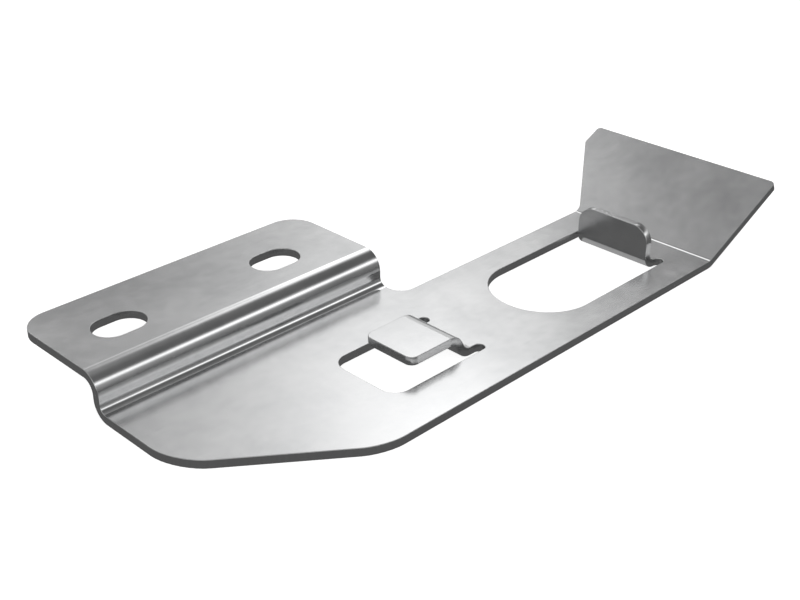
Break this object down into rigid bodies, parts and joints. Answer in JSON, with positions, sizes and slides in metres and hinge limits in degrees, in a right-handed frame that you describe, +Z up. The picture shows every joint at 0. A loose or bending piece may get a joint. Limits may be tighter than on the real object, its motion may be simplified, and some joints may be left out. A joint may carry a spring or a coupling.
{
  "type": "stamped metal bracket",
  "caption": "Folded sheet bracket with a joggled, slotted mounting flange, a raised hook tongue, a square lug behind a round ended window, and a leaning, flared end flange.",
  "frame": {"origin": "centre of the plan box, on the underside of the flat base", "axes": "+X along the strip from the joggle end to the leaning end flange, +Y across it towards the raised mounting flange, +Z up, the way every fold rises"},
  "size_m": [0.1258, 0.058, 0.0108],
  "materials": {
    "sheet_steel": "plain rolled sheet, soft cloudy sheen"
  },
  "bodies": {
    "root": {"bracket": "sheet_steel"}
  },
  "joints": []
}
